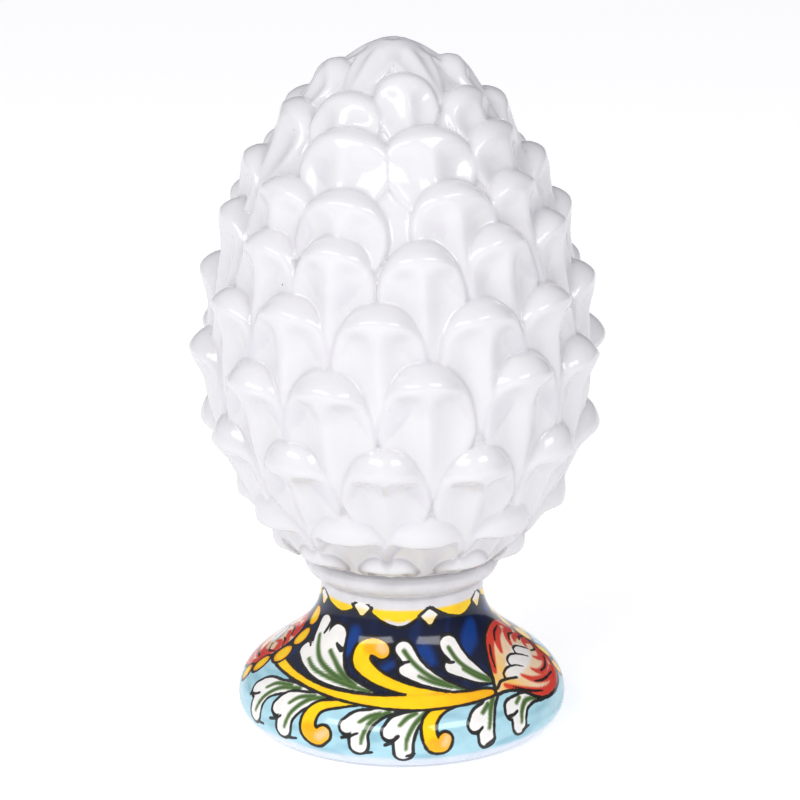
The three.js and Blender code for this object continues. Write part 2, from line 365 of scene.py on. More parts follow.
def outline_points(egg, scales, sizes):
    """Rows of points that follow the visible outline of every scale."""
    rows_along, rows_turn = [], []
    for number, scale in enumerate(scales):
        half, arch, length = scale["half"], scale["arch"], scale["length"]
        turn = np.linspace(-math.pi / 2, math.pi / 2, ARCH_POINTS)
        flat = half * np.sin(turn)
        down = arch * (1 - np.cos(turn))
        tail = np.linspace(0, TAIL_SHOWN, TAIL_POINTS)[1:]
        tail_flat = half * (1 - tail ** TAIL_POWER)
        tail_down = arch + tail * (length - arch)
        flat = np.concatenate([-tail_flat[::-1], flat, tail_flat])
        down = np.concatenate([tail_down[::-1], down, tail_down])
        path = np.concatenate([[0], np.cumsum(np.hypot(np.diff(flat), np.diff(down)))])
        even = np.linspace(0, path[-1], max(4, int(path[-1] / (OUTLINE_STEP * MM))))
        flat, down = np.interp(even, path, flat), np.interp(even, path, down)
        across, along = np.gradient(flat), np.gradient(down)
        size = np.hypot(across, along)
        inward = (-along / size, across / size)
        sign = np.sign(-inward[0] * flat + inward[1] * (arch - down))

        def row(inset):
            """Places along a line that follows the edge at an inset."""
            shift = inset * MM * sign
            f, d = flat + shift * inward[0], down + shift * inward[1]
            a = np.clip(scale["top"] - d, 0, egg.length)
            sine = f / np.maximum(egg.at("radius", a), 1e-6)
            good = np.abs(sine) < WIDEST_SINE
            return a, scale["angle"] + np.arcsin(np.clip(sine, -WIDEST_SINE, WIDEST_SINE)), good

        a, t, good = row(SHOWN_AT)
        shown = (cone_field(egg, scales, a, t, sizes)[1] == number) & good
        shown = shown | np.roll(shown, 1) | np.roll(shown, -1)
        for inset in OUTLINE_ROWS:
            a, t, good = row(inset)
            rows_along.append(a[shown & good])
            rows_turn.append(t[shown & good])
    return np.concatenate(rows_along), np.concatenate(rows_turn)


def face_points(egg, spacing):
    """Even points over the egg, each row moved on by half a step."""
    rows_along, rows_turn = [], []
    levels = np.arange(spacing, egg.length - spacing / 2, spacing * ROW_SPACING)
    for number, level in enumerate(levels):
        count = max(5, round(2 * math.pi * float(egg.at("radius", level)) / spacing))
        rows_along.append(np.full(count, level))
        rows_turn.append((np.arange(count) + number % 2 / 2) / count * 2 * math.pi)
    return np.concatenate(rows_along), np.concatenate(rows_turn)


def thin_out(points, closest):
    """Indices of points of which no two share a small cell."""
    cells = np.round(points / closest).astype(np.int64)
    return np.unique(cells, axis=0, return_index=True)[1]


BASE_SIDES = 260
INSERT_DEPTH = 2 * MM
INSERT_IN = 3 * MM
END_GAP = 0.4 * MM
ROOM_SHARE = 0.58
BASE_FADE = 2.5 * MM
CREVICE_HEIGHTS = (66 * MM, 92 * MM)
BARE_CREVICE = 0.6


def carve_cone(sizes):
    """The carved cone as one closed mesh."""
    egg = Egg(sizes)
    scales = make_scales(egg, sizes)
    ring_turn = np.arange(BASE_SIDES) / BASE_SIDES * 2 * math.pi
    along, turn = outline_points(egg, scales, sizes)
    keep = (along > END_GAP) & (along < egg.length - END_GAP)
    along, turn = along[keep], turn[keep]
    base = egg.point(along, turn, np.zeros(len(along)), 0)
    keep = np.sort(thin_out(base, CLOSEST * MM))
    along, turn, base = along[keep], turn[keep], base[keep]
    tree = KDTree(len(base))
    for index, point in enumerate(base):
        tree.insert(point, index)
    tree.balance()
    face_along, face_turn = face_points(egg, sizes.point_spacing)
    face_base = egg.point(face_along, face_turn, np.zeros(len(face_along)), 0)
    clear = ROOM_SHARE * sizes.point_spacing
    free = np.array([tree.find(point)[2] > clear for point in face_base])
    along = np.concatenate([np.zeros(BASE_SIDES), along, face_along[free], [egg.length]])
    turn = np.concatenate([ring_turn, turn, face_turn[free], [0]])
    spread = np.exp(-egg.at("shrink", along))
    spread[-1] = 0
    flat = [Vector((s * math.sin(t), -s * math.cos(t))) for s, t in zip(spread, turn)]
    made = delaunay_2d_cdt(flat, [], [], 0, 0.0)
    source = np.array([origin[0] for origin in made[3]])
    faces = [tuple(face) for face in made[2]]
    along, turn = along[source], turn[source]
    rise, owner, droop, crease = cone_field(egg, scales, along, turn, sizes)
    rise = rise * smooth(0, BASE_FADE, along)
    points = egg.point(along, turn, rise, droop)
    edge = [int(np.nonzero(source == index)[0][0]) for index in range(BASE_SIDES)]
    low = len(points)
    radius = sizes.collar_radius - INSERT_IN
    inner = np.stack([radius * np.sin(ring_turn), -radius * np.cos(ring_turn),
                      np.full(BASE_SIDES, sizes.base_height - INSERT_DEPTH)], axis=1)
    middle = np.array([[0, 0, sizes.base_height - INSERT_DEPTH]])
    points = np.concatenate([points, inner, middle])
    for index in range(BASE_SIDES):
        after = (index + 1) % BASE_SIDES
        faces.append((edge[index], low + index, low + after, edge[after]))
        faces.append((low + index, low + BASE_SIDES, low + after))
    above = np.maximum(0, points[:, 2] - sizes.base_height)
    points[:, 0] -= above * math.tan(sizes.lean)
    mesh = bpy.data.meshes.new("carved_cone")
    mesh.from_pydata(points.tolist(), [], faces)
    mesh.update()
    spare = np.zeros(BASE_SIDES + 1)
    low_down = 1 - smooth(*CREVICE_HEIGHTS, points[:, 2])
    bare = np.where((owner < 0) & (along > ROOT_HEIGHT), BARE_CREVICE, 0)
    # How deep each point lies in a crease, which sets the painted crease shade
    add_values(mesh, "crease", np.concatenate([crease, spare]))
    # Painted shade: crease depth low down near the collar and between the scales, where the brown-grey
    # crevice shade is painted
    add_values(mesh, "crevice", low_down * np.concatenate([np.maximum(crease, bare), spare]))
    mesh.shade_smooth()
    return mesh


def add_values(mesh, name, values):
    """Stores one number for each point of a mesh."""
    attribute = mesh.attributes.new(name, "FLOAT", "POINT")
    attribute.data.foreach_set("value", np.asarray(values, dtype=np.float32))


def add_colours(mesh, name, colours):
    """Stores one linear colour for each point of a mesh."""
    attribute = mesh.color_attributes.new(name, "FLOAT_COLOR", "POINT")
    full = np.concatenate([colours, np.ones((len(colours), 1))], axis=1)
    attribute.data.foreach_set("color", full.astype(np.float32).ravel())


def make_object(name, mesh):
    """A new object with a mesh, linked to the scene."""
    piece = bpy.data.objects.new(name, mesh)
    bpy.context.scene.collection.objects.link(piece)
    return piece


def finish_piece(piece):
    """Hides the solid's part and hangs the piece on the root body."""
    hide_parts(NODE)
    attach(piece, "root")


# White tin glaze, poured thick over carved earthenware and fired glossy: milky white
# with sharp highlights and rare pinholes; a cool grey is painted into the creases as shade,
# and a brown-grey is painted as shade deep in the lowest crevices
PINHOLE = "5b5048"
GLAZE_IOR = 1.52
GLAZE_ROUGHNESS = 0.1
THICK_ROUGHNESS = 0.15
PINHOLE_CELL = 19 * MM
PINHOLE_RADIUS = 0.26 * MM
PINHOLE_EDGE = (1.3, 0.8)
# Painted shade in the creases: where the cool grey starts and ends, and how much of it
CREASE_SHADE_AT = (0.3, 0.7)
CREASE_SHADE_SHARE = 0.35
# Painted shade deep in the lowest crevices: where the brown-grey starts and ends, and how much of it
CREVICE_SHADE_AT = (0.22, 0.7)
CREVICE_SHADE_SHARE = 0.7
RIPPLE_SIZE = 14 * MM
RIPPLE_HEIGHT = 0.12 * MM


def new_glaze(name):
    """A new material, its tree and the places on the object that its patterns read."""
    material = bpy.data.materials.new(name)
    material.use_nodes = True
    tree = material.node_tree
    return material, tree, add_node(tree, "ShaderNodeTexCoord").outputs["Object"]


def finish_glaze(tree, place, colour, roughness):
    """Gives a glaze its colour, its gloss and a slow ripple."""
    shader = tree.nodes["Principled BSDF"]
    ripple = add_node(tree, "ShaderNodeTexNoise", {
        "Vector": place, "Scale": 1 / RIPPLE_SIZE, "Detail": 1.0})
    bump = add_node(tree, "ShaderNodeBump", {
        "Height": ripple.outputs["Fac"], "Strength": 1.0, "Distance": RIPPLE_HEIGHT})
    tree.links.new(colour, shader.inputs["Base Color"])
    tree.links.new(bump.outputs["Normal"], shader.inputs["Normal"])
    shader.inputs["IOR"].default_value = GLAZE_IOR
    shader.inputs["Roughness"].default_value = roughness


def stored(tree, name, output="Fac"):
    """What the mesh stores under a name."""
    return add_node(tree, "ShaderNodeAttribute", attribute_name=name).outputs[output]


def ramp(tree, value, limits, ends=(0.0, 1.0), kind="LINEAR"):
    """A number moved from between its limits to between the ends."""
    return add_node(tree, "ShaderNodeMapRange", {
        "Value": value, "From Min": limits[0], "From Max": limits[1],
        "To Min": ends[0], "To Max": ends[1]}, interpolation_type=kind).outputs["Result"]


def blend(tree, share, first, second):
    """A colour between two colours."""
    return add_node(tree, "ShaderNodeMix", {
        "Factor": share, "A": first, "B": second}, data_type="RGBA").outputs[2]


def tin_glaze(sizes):
    """White glaze of the cone."""
    material, tree, place = new_glaze("white_tin_glaze")
    # Painted shade: the glaze turns cool grey the deeper a point lies in a crease
    crease_shade = ramp(tree, stored(tree, "crease"), CREASE_SHADE_AT, (0, CREASE_SHADE_SHARE), "SMOOTHSTEP")
    # Painted shade: brown-grey deep in the lowest crevices, under the pads near the collar
    crevice_shade = ramp(tree, stored(tree, "crevice"), CREVICE_SHADE_AT, (0, CREVICE_SHADE_SHARE), "SMOOTHSTEP")
    white = blend(tree, crease_shade, (*sizes.glaze_colour, 1), (*sizes.crease_shade_colour, 1))
    colour = blend(tree, crevice_shade, white, (*sizes.crevice_shade_colour, 1))
    cells = add_node(tree, "ShaderNodeTexVoronoi", {"Vector": place, "Scale": 1 / PINHOLE_CELL})
    edge = [PINHOLE_RADIUS / PINHOLE_CELL * share for share in PINHOLE_EDGE]
    hole = ramp(tree, cells.outputs["Distance"], edge)
    finish_glaze(tree, place, blend(tree, hole, colour, rgba(PINHOLE)), THICK_ROUGHNESS)
    return material


class FINIAL_OT_cone(bpy.types.Operator):
    """Carve the pinecone and glaze it white"""

    bl_idname = "finial.cone"
    bl_label = "Carved cone"

    def execute(self, context):
        sizes = context.scene.finial_cone
        mesh = carve_cone(sizes)
        mesh.materials.append(tin_glaze(sizes))
        finish_piece(make_object("carved_cone", mesh))
        return {"FINISHED"}


# Painted foot

RECESS_RADIUS = 38 * MM
RECESS_DEPTH = 3 * MM
RECESS_SLOPE = 2 * MM
GROOVE_HEIGHT = 55 * MM
GROOVE_DEPTH = 0.6 * MM
# The groove's line in mm up and as a share of its depth
GROOVE_LINE = ((-1.2, 0), (-0.4, 0.7), (0.1, 1))
COLLAR_LIFT = 0.2 * MM
COLLAR_START = 0.12
# The collar's upper edge in mm inwards and down
COLLAR_EDGE = ((0.5, 0.8), (1.6, 0))
COLLAR_CAP = 0.6 * MM
RIM_STEPS = 12
BELL_STEPS = 60
COLLAR_STEPS = 10
RECESS_MIDDLE = 0.6
REST_ROUNDING = 0.6 * MM
SEAM = 0.01 * MM
# Points of the outline before and after its painted part
UNDER_POINTS = 6
OVER_POINTS = 2
COLLAR_TOP = 64.4 * MM
COLLAR_RISE = 6.3 * MM
PAINT_STEP = 0.58 * MM


def foot_profile(sizes):
    """Radius and height of the foot's outline, from the axis out and up to the axis."""
    rim = np.linspace(0, math.pi / 2, RIM_STEPS)
    rim_line = [(sizes.rest_radius + (sizes.rim_radius - sizes.rest_radius) * math.sin(t),
                 sizes.rim_height * (1 - math.cos(t))) for t in rim]
    t = np.linspace(0, 1, BELL_STEPS)[1:, None]
    ends = np.array([
        (sizes.rim_radius, sizes.rim_height),
        (sizes.rim_radius, sizes.rim_height + sizes.shoulder_pull),
        (sizes.neck_radius, sizes.neck_height - sizes.neck_pull),
        (sizes.neck_radius, sizes.neck_height)])
    bell = (1 - t) ** 3 * ends[0] + 3 * (1 - t) ** 2 * t * ends[1]
    bell = bell + 3 * (1 - t) * t ** 2 * ends[2] + t ** 3 * ends[3]
    neck = [(sizes.neck_radius - share * GROOVE_DEPTH, GROOVE_HEIGHT + up * MM)
            for up, share in GROOVE_LINE]
    swell = np.linspace(COLLAR_START, math.pi / 2, COLLAR_STEPS)
    spare = sizes.collar_radius - sizes.neck_radius
    collar = [(sizes.neck_radius + spare * math.sin(t),
               GROOVE_HEIGHT + COLLAR_LIFT + COLLAR_RISE * (1 - math.cos(t))) for t in swell]
    edge = [(sizes.collar_radius - inwards * MM, COLLAR_TOP - down * MM)
            for inwards, down in COLLAR_EDGE]
    outside = np.array([*rim_line, *bell.tolist(), *neck, *collar, *edge])
    way = np.concatenate([[0], np.cumsum(np.hypot(*np.diff(outside, axis=0).T))])
    even = np.linspace(0, way[-1], int(way[-1] / PAINT_STEP))
    outside = np.stack([np.interp(even, way, outside[:, 0]), np.interp(even, way, outside[:, 1])], 1)
    under = [(0, RECESS_DEPTH), (RECESS_RADIUS * RECESS_MIDDLE, RECESS_DEPTH),
             (RECESS_RADIUS - RECESS_SLOPE, RECESS_DEPTH), (RECESS_RADIUS, 0),
             (RECESS_RADIUS + REST_ROUNDING, 0), (sizes.rest_radius - REST_ROUNDING, 0)]
    over = [(sizes.neck_radius, COLLAR_TOP + COLLAR_CAP), (0, COLLAR_TOP + COLLAR_CAP)]
    return np.array([*under, *outside.tolist(), *over])


def turning_tree():
    """Node tree that turns an outline in the XZ plane round the Z axis into a mesh."""
    tree = bpy.data.node_groups.new("turned_on_a_wheel", "GeometryNodeTree")
    face = tree.interface
    face.new_socket("Outline", in_out="INPUT", socket_type="NodeSocketGeometry")
    face.new_socket("Sides", in_out="INPUT", socket_type="NodeSocketInt")
    face.new_socket("Seam", in_out="INPUT", socket_type="NodeSocketFloat")
    face.new_socket("Finish", in_out="INPUT", socket_type="NodeSocketMaterial")
    face.new_socket("Turned", in_out="OUTPUT", socket_type="NodeSocketGeometry")
    start = add_node(tree, "NodeGroupInput").outputs
    rows = add_node(tree, "GeometryNodeAttributeDomainSize", {"Geometry": start["Outline"]},
                    component="CURVE").outputs["Point Count"]
    columns = add_node(tree, "ShaderNodeMath", {0: start["Sides"], 1: 1.0}, operation="ADD")
    sheet = add_node(tree, "GeometryNodeMeshGrid", {
        "Vertices X": columns.outputs[0], "Vertices Y": rows})
    index = add_node(tree, "GeometryNodeInputIndex").outputs[0]
    row = add_node(tree, "ShaderNodeMath", {0: index, 1: rows}, operation="MODULO").outputs[0]
    share = add_node(tree, "ShaderNodeMath", {0: index, 1: rows}, operation="DIVIDE").outputs[0]
    column = add_node(tree, "ShaderNodeMath", {0: share}, operation="FLOOR").outputs[0]
    part = add_node(tree, "ShaderNodeMath", {0: column, 1: start["Sides"]}, operation="DIVIDE")
    turn = add_node(tree, "ShaderNodeMath", {0: part.outputs[0], 1: 2 * math.pi},
                    operation="MULTIPLY").outputs[0]
    place = add_node(tree, "GeometryNodeInputPosition").outputs[0]
    found = add_node(tree, "GeometryNodeSampleIndex", {
        "Geometry": start["Outline"], "Value": place, "Index": row},
        data_type="FLOAT_VECTOR", domain="POINT").outputs[0]
    turned = add_node(tree, "ShaderNodeVectorRotate", {
        "Vector": found, "Axis": (0, 0, 1), "Angle": turn}, rotation_type="AXIS_ANGLE")
    placed = add_node(tree, "GeometryNodeSetPosition", {
        "Geometry": sheet.outputs["Mesh"], "Position": turned.outputs[0]})
    closed = add_node(tree, "GeometryNodeMergeByDistance", {
        "Geometry": placed.outputs[0], "Distance": start["Seam"]})
    soft = add_node(tree, "GeometryNodeSetShadeSmooth", {"Geometry": closed.outputs[0]})
    real = add_node(tree, "GeometryNodeRealizeInstances", {"Geometry": soft.outputs[0]})
    done = add_node(tree, "GeometryNodeSetMaterial", {
        "Geometry": real.outputs[0], "Material": start["Finish"]})
    add_node(tree, "NodeGroupOutput", {"Turned": done.outputs[0]})
    return tree


def turn_foot(sizes, material):
    """The foot's mesh, turned from its outline by the node tree."""
    outline = foot_profile(sizes)
    curve = bpy.data.curves.new("foot_outline", "CURVE")
    curve.dimensions = "3D"
    line = curve.splines.new("POLY")
    line.points.add(len(outline) - 1)
    for point, (radius, height) in zip(line.points, outline):
        point.co = (0, -radius, height, 1)
    holder = make_object("foot_outline", curve)
    modifier = holder.modifiers.new("turned", "NODES")
    modifier.node_group = turning_tree()
    values = {"Sides": sizes.sides, "Seam": SEAM, "Finish": material}
    for item in modifier.node_group.interface.items_tree:
        if item.in_out == "INPUT" and item.name in values:
            modifier[item.identifier] = values[item.name]
    depsgraph = bpy.context.evaluated_depsgraph_get()
    mesh = bpy.data.meshes.new_from_object(holder.evaluated_get(depsgraph))
    bpy.data.objects.remove(holder)
    mesh.name = "painted_foot"
    return mesh


# Brush lines of the scroll, as angle from the front in degrees, way up the outside in
# mm and half width in mm. One pattern takes half the way round
STEM = [(-76, 36.8, 2.2), (-69, 36.6, 2.2), (-50.5, 35.1, 1.7), (-31.8, 33.2, 1.7),
        (-10.5, 32.1, 2.6), (5, 31.9, 3.3), (18.3, 31.8, 3.1), (28, 31.6, 2.6),
        (36, 31.6, 2.1), (41, 31.2, 1.2)]
CURLS = [
    [(24.5, 32.8, 1.4), (12, 35.1, 2.1), (-0.5, 38.1, 2.5), (-13, 42.4, 3.0), (-21.8, 47.2, 3.5),
     (-23.2, 51.8, 3.7), (-18.6, 53.9, 3.5), (-13.2, 53.2, 3.5), (-11.8, 52.3, 3.2)],
    [(-14.3, 31.4, 0.9), (-23, 29.8, 1.5), (-31.8, 27.2, 2.3), (-34.8, 22.6, 3.0),
     (-34.2, 17.8, 3.3), (-30.6, 15.7, 3.3), (-28.2, 17.4, 3.2)],
    [(20.8, 29.9, 0.9), (14.5, 28.1, 1.8), (10.3, 24.4, 2.6), (9.6, 19.4, 2.8),
     (11.2, 15.7, 3.0), (14.0, 15.3, 2.9), (15.0, 17.4, 2.8)],
]
# Each leaf: its lobes, then its green veins
LEAVES = [
    ([[(-13, 35.6, 0.4), (-34.3, 39.0, 2.2), (-48, 45.4, 3.4), (-56.8, 52.2, 3.6), (-60.3, 57.2, 3.3)],
      [(-13, 35.6, 0.4), (-29.3, 40.2, 2.0), (-38, 46.6, 3.0), (-44.3, 53.1, 4.2), (-45.2, 54.8, 4.3)],
      [(-20, 35.8, 0.4), (-38, 38.6, 2.0), (-50.5, 42.2, 2.8), (-60.8, 46.0, 3.2)],
      [(-30, 40.0, 1.5), (-42, 45.5, 3.2), (-50, 49.5, 4.2), (-53, 51.4, 3.4)]],
     [[(-59.6, 52.8, 0.7), (-54, 48.6, 0.8), (-46.8, 44.6, 0.9), (-38, 41.6, 1.0), (-22, 37.0, 1.2)],
      [(-44, 49.0, 0.8), (-38, 46.1, 0.8), (-31.8, 42.6, 1.0), (-22, 37.6, 1.2)],
      [(-54, 43.2, 0.6), (-46.8, 40.6, 0.8), (-38, 39.1, 0.8), (-14, 35.8, 0.9)]]),
    ([[(29.5, 33.8, 0.4), (18.3, 39.4, 1.7), (8.3, 46.4, 2.4), (2.6, 52.1, 3.0), (1.0, 53.6, 3.0)],
      [(29.5, 33.8, 0.4), (18.3, 38.2, 1.6), (9.5, 41.8, 2.2), (1.8, 45.4, 2.4)],
      [(18, 39.0, 1.8), (11, 43.6, 2.6), (6.5, 48.0, 2.4)]],
     [[(1.2, 53.0, 0.8), (5.8, 48.6, 0.8), (12, 43.6, 0.9), (18.3, 39.8, 1.0), (28.3, 34.9, 1.0)],
      [(8.3, 42.8, 0.6), (14.5, 39.8, 0.8), (22, 37.2, 0.9)]]),
    ([[(43.6, 34.8, 0.4), (38.3, 39.8, 2.0), (33.9, 45.6, 3.0), (30.4, 51.6, 3.6), (29.8, 53.2, 3.6)],
      [(43.6, 34.8, 0.4), (37, 38.4, 2.2), (30.8, 42.6, 3.0), (26.2, 44.6, 2.6)],
      [(40, 38.0, 1.8), (36, 42.4, 3.0), (33, 47.0, 3.0)]],
     [[(28.9, 52.3, 0.8), (31.4, 46.6, 0.9), (35.8, 41.6, 1.0), (42.6, 35.8, 1.2)],
      [(32, 43.0, 0.7), (37, 38.6, 0.9), (41.4, 35.8, 1.0)]]),
    ([[(-40.5, 31.6, 0.5), (-50.5, 30.3, 2.0), (-59.3, 26.6, 3.2), (-62.2, 21.6, 3.4),
       (-62.2, 16.2, 3.4)],
      [(-54, 29.6, 1.8), (-62.6, 27.0, 3.2), (-66.6, 23.8, 3.0)]],
     [[(-45.5, 31.4, 0.9), (-54.3, 28.8, 0.8), (-59.6, 23.6, 0.8), (-62.2, 17.0, 0.6)],
      [(-50.5, 31.4, 0.8), (-58, 29.6, 0.8), (-61.9, 26.2, 0.6)]]),
    ([[(-26, 31.4, 0.5), (-35.5, 29.7, 2.0), (-42.2, 25.6, 3.2), (-45.4, 20.4, 3.4),
       (-45.6, 15.6, 3.3)],
      [(-38, 29.4, 1.6), (-47.2, 26.2, 2.8), (-50.4, 22.0, 2.8)]],
     [[(-30, 31.0, 0.9), (-38, 28.6, 0.9), (-43.2, 22.6, 0.8), (-45.1, 16.2, 0.6)],
      [(-37, 30.2, 0.8), (-43, 28.2, 0.8), (-46.3, 24.8, 0.6)]]),
    ([[(-1.8, 28.8, 0.5), (-8, 27.4, 1.8), (-12.8, 24.2, 2.8), (-14.8, 19.6, 3.0), (-14.6, 15.4, 3.1)],
      [(-9, 27.0, 1.4), (-15.8, 25.2, 2.2), (-19.4, 21.6, 2.6)]],
     [[(-4.5, 28.0, 0.9), (-10.5, 24.6, 0.8), (-13.2, 19.6, 0.7), (-13.9, 16.0, 0.5)],
      [(-8, 27.2, 0.8), (-12, 25.8, 0.8), (-15.3, 23.4, 0.6)]]),
    ([[(12, 29.2, 0.5), (7, 27.4, 1.9), (2.2, 23.2, 3.0), (0.3, 18.0, 3.2), (0.3, 13.4, 3.0)],
      [(5, 27.0, 1.4), (-1.8, 24.2, 2.4), (-4.6, 20.6, 2.5)]],
     [[(9.5, 28.3, 0.9), (4.5, 23.8, 0.8), (1.6, 18.6, 0.7), (1.0, 14.6, 0.5)],
      [(5, 27.6, 0.8), (1.8, 26.0, 0.8), (-1.0, 23.2, 0.6)]]),
    ([[(39.5, 29.8, 0.5), (35.1, 27.4, 1.9), (31.6, 23.0, 2.8), (30.2, 18.2, 2.9), (30.2, 15.2, 2.9)],
      [(34, 26.8, 1.4), (29.0, 24.2, 2.3), (26.4, 20.8, 2.5)]],
     [[(37.6, 29.0, 0.9), (34.2, 24.8, 0.8), (31.6, 18.8, 0.6)],
      [(34.4, 27.4, 0.8), (30.6, 24.6, 0.7)]]),
    ([[(62, 22.2, 0.5), (55, 24.4, 1.8), (49.0, 23.6, 2.8), (46.0, 19.8, 3.0), (45.2, 16.8, 3.0)],
      [(51, 25.4, 1.6), (44.6, 24.0, 2.5), (42.8, 22.0, 2.2)]],
     [[(60, 22.6, 0.7), (52.6, 24.2, 0.9), (48.0, 21.4, 0.8), (46.4, 17.6, 0.6)],
      [(50, 26.2, 0.7), (47, 24.6, 0.6)]]),
]
# Short dark strokes that part the lobes of the leaves
NOTCHES = [
    [(-53.8, 60.4, 0.75), (-55.2, 56.6, 0.7), (-56.2, 54.2, 0.6)],
    [(-37.2, 50.6, 1.1), (-39.8, 51.4, 0.8), (-42.2, 52.4, 0.5)],
    [(-66.0, 49.3, 0.6), (-62.4, 48.7, 0.55), (-59.9, 47.7, 0.45)],
    [(-2.4, 48.5, 0.7), (1.2, 48.5, 0.65), (3.8, 48.7, 0.55)],
    [(22.6, 48.9, 0.7), (25.6, 47.0, 0.7), (28.6, 46.8, 0.6)],
    [(-69.6, 20.4, 0.65), (-66.4, 21.6, 0.6), (-63.8, 23.0, 0.5)],
    [(-52.6, 17.0, 0.65), (-49.6, 18.0, 0.6), (-47.4, 19.6, 0.5)],
    [(-21.0, 17.4, 0.65), (-18.0, 18.4, 0.6), (-15.4, 19.6, 0.45)],
    [(-5.8, 16.0, 0.65), (-3.4, 17.0, 0.6), (-1.2, 19.2, 0.6)],
    [(25.0, 18.4, 0.65), (27.4, 18.4, 0.65), (29.2, 19.6, 0.6)],
    [(41.2, 21.0, 0.65), (43.6, 21.0, 0.6), (45.8, 21.8, 0.5)],
    [(-59.8, 13.4, 0.6), (-56.4, 13.6, 0.5)], [(-42.6, 12.6, 0.6), (-39.0, 13.4, 0.5)],
    [(-12.6, 12.6, 0.6), (-10.2, 13.0, 0.5)], [(1.6, 11.8, 0.6), (4.4, 12.8, 0.5)],
    [(30.4, 13.0, 0.6), (33.8, 14.8, 0.5)], [(46.6, 14.6, 0.6), (49.6, 15.2, 0.5)],
]
# Flower beyond the junction: its edge, flames in red, dark strokes and grey petal lines
FLOWER_START = 41
FLOWER_REACH = {0: 0.9, 180: 1.0}
FLOWER = [(40.6, 30.4), (44.5, 36.9), (47.6, 41.4), (52, 46.0), (57, 50.0), (64, 53.0), (73.5, 54.6),
          (84, 54.6), (93, 53.0), (99.0, 49.4), (101, 42.6), (99.5, 33.6), (95.0, 26.6), (87, 22.4),
          (79, 20.9), (73, 20.6), (65.8, 21.3), (60, 23.6), (54.5, 27.4), (49.5, 29.4), (44.6, 30.0)]
FLOWER_RED = [
    [(48.0, 38.4, 0.9), (52, 42.8, 1.6), (57, 46.8, 1.9), (63.3, 49.9, 2.0), (73, 52.3, 1.8),
     (82, 52.8, 1.7), (92, 51.4, 1.8), (97.5, 46.6, 1.8)],
    [(63.9, 44.1, 0.8), (68.3, 47.6, 1.6), (74.5, 49.9, 1.7), (84, 50.6, 1.5)],
    [(77.6, 43.6, 0.8), (82, 46.1, 1.5), (88, 47.4, 1.8), (95, 46.0, 1.6)],
    [(48.3, 31.8, 1.2), (53.3, 28.8, 1.7), (59.5, 25.8, 1.9), (67, 23.2, 1.9), (74.5, 22.6, 1.8),
     (84, 23.2, 1.7), (92, 26.2, 1.8), (97, 31.6, 1.8)],
    [(62, 32.6, 0.8), (65.1, 29.8, 1.4), (69.5, 27.8, 1.6), (79.5, 25.6, 1.6), (88, 26.2, 1.4)],
    [(72, 32.1, 0.8), (74.5, 29.8, 1.4), (79.5, 28.8, 1.5), (88, 29.4, 1.4), (95, 31.6, 1.4)],
    [(83.3, 34.3, 0.7), (85.6, 32.3, 1.2), (90, 32.0, 1.4), (97, 35.0, 1.6)],
    [(85.0, 43.2, 0.7), (89.6, 43.8, 1.3), (97.6, 41.6, 2.0)],
    [(88.6, 38.4, 0.7), (92.6, 39.6, 1.2), (98, 37.6, 2.0)],
]
FLOWER_DARK = [
    [(50.4, 40.0, 0.35), (54.6, 44.9, 0.55), (59.8, 48.6, 0.45)],
    [(67.4, 48.9, 0.4), (74, 51.3, 0.55), (84, 51.8, 0.4)],
    [(81.6, 45.2, 0.4), (87.6, 46.2, 0.55), (94.6, 44.6, 0.4)],
    [(51.6, 30.6, 0.4), (58.4, 26.6, 0.6), (66.6, 23.8, 0.4)],
    [(65.8, 28.4, 0.4), (72.6, 26.6, 0.55), (84, 25.8, 0.4)],
    [(76.2, 29.4, 0.35), (83.6, 28.9, 0.5), (92.6, 30.4, 0.4)],
    [(87.6, 36.0, 0.4), (93.4, 34.6, 0.5), (98.6, 36.6, 0.4)],
    [(90.6, 41.4, 0.4), (95.4, 41.6, 0.5), (99.6, 39.8, 0.4)],
]
FLOWER_HEART = [(52.6, 35.0), (57.6, 38.4), (62.6, 41.0), (69.5, 41.8), (75.8, 42.9), (82.0, 42.2),
                (88.0, 38.6), (84.0, 35.4), (75.0, 34.2), (66.0, 33.6), (58.0, 32.6)]
FLOWER_LINES = [
    [(50.75, 34.6, 0.45), (52.6, 36.7, 0.5), (57, 37.9, 0.5), (61.2, 37.8, 0.45)],
    [(60.8, 38.0, 0.45), (62, 40.2, 0.5), (65.4, 41.3, 0.5), (69.5, 41.2, 0.5), (73.5, 40.1, 0.45)],
    [(73.3, 40.2, 0.45), (75.8, 42.3, 0.5), (80.8, 41.9, 0.5), (84.6, 39.8, 0.45), (87.6, 37.2, 0.4)],
    [(60.8, 37.8, 0.45), (64.5, 37.0, 0.45), (68.3, 35.0, 0.35)],
    [(73.3, 40.0, 0.45), (77, 38.2, 0.45), (79.8, 36.0, 0.35)],
    [(42.4, 31.9, 0.6), (47, 34.1, 0.65), (52, 34.0, 0.6), (57.8, 33.0, 0.6)],
]
# Places where the cobalt was brushed thinner and shows royal blue
BLUE_PATCHES = [
    [(-37, 47, 1.5), (-33.5, 52, 2.6), (-32, 58, 2.2)],
    [(-9.5, 45.5, 1.2), (-6, 47.5, 1.2)],
    [(9, 51, 1.6), (14, 52.5, 2.4), (17, 48, 1.4)],
    [(40, 50, 2.0), (46, 54, 3.4), (52, 58, 2.6)],
    [(92, 60, 1.6), (86, 59, 2.0), (78, 60, 1.6)],
]
BEADS = [(102.7, 57.0, 4.0, 4.4), (106.3, 48.2, 3.6, 4.6), (106.6, 38.8, 4.2, 4.6),
         (100.2, 30.2, 3.4, 4.4), (95.2, 23.4, 3.4, 3.6)]

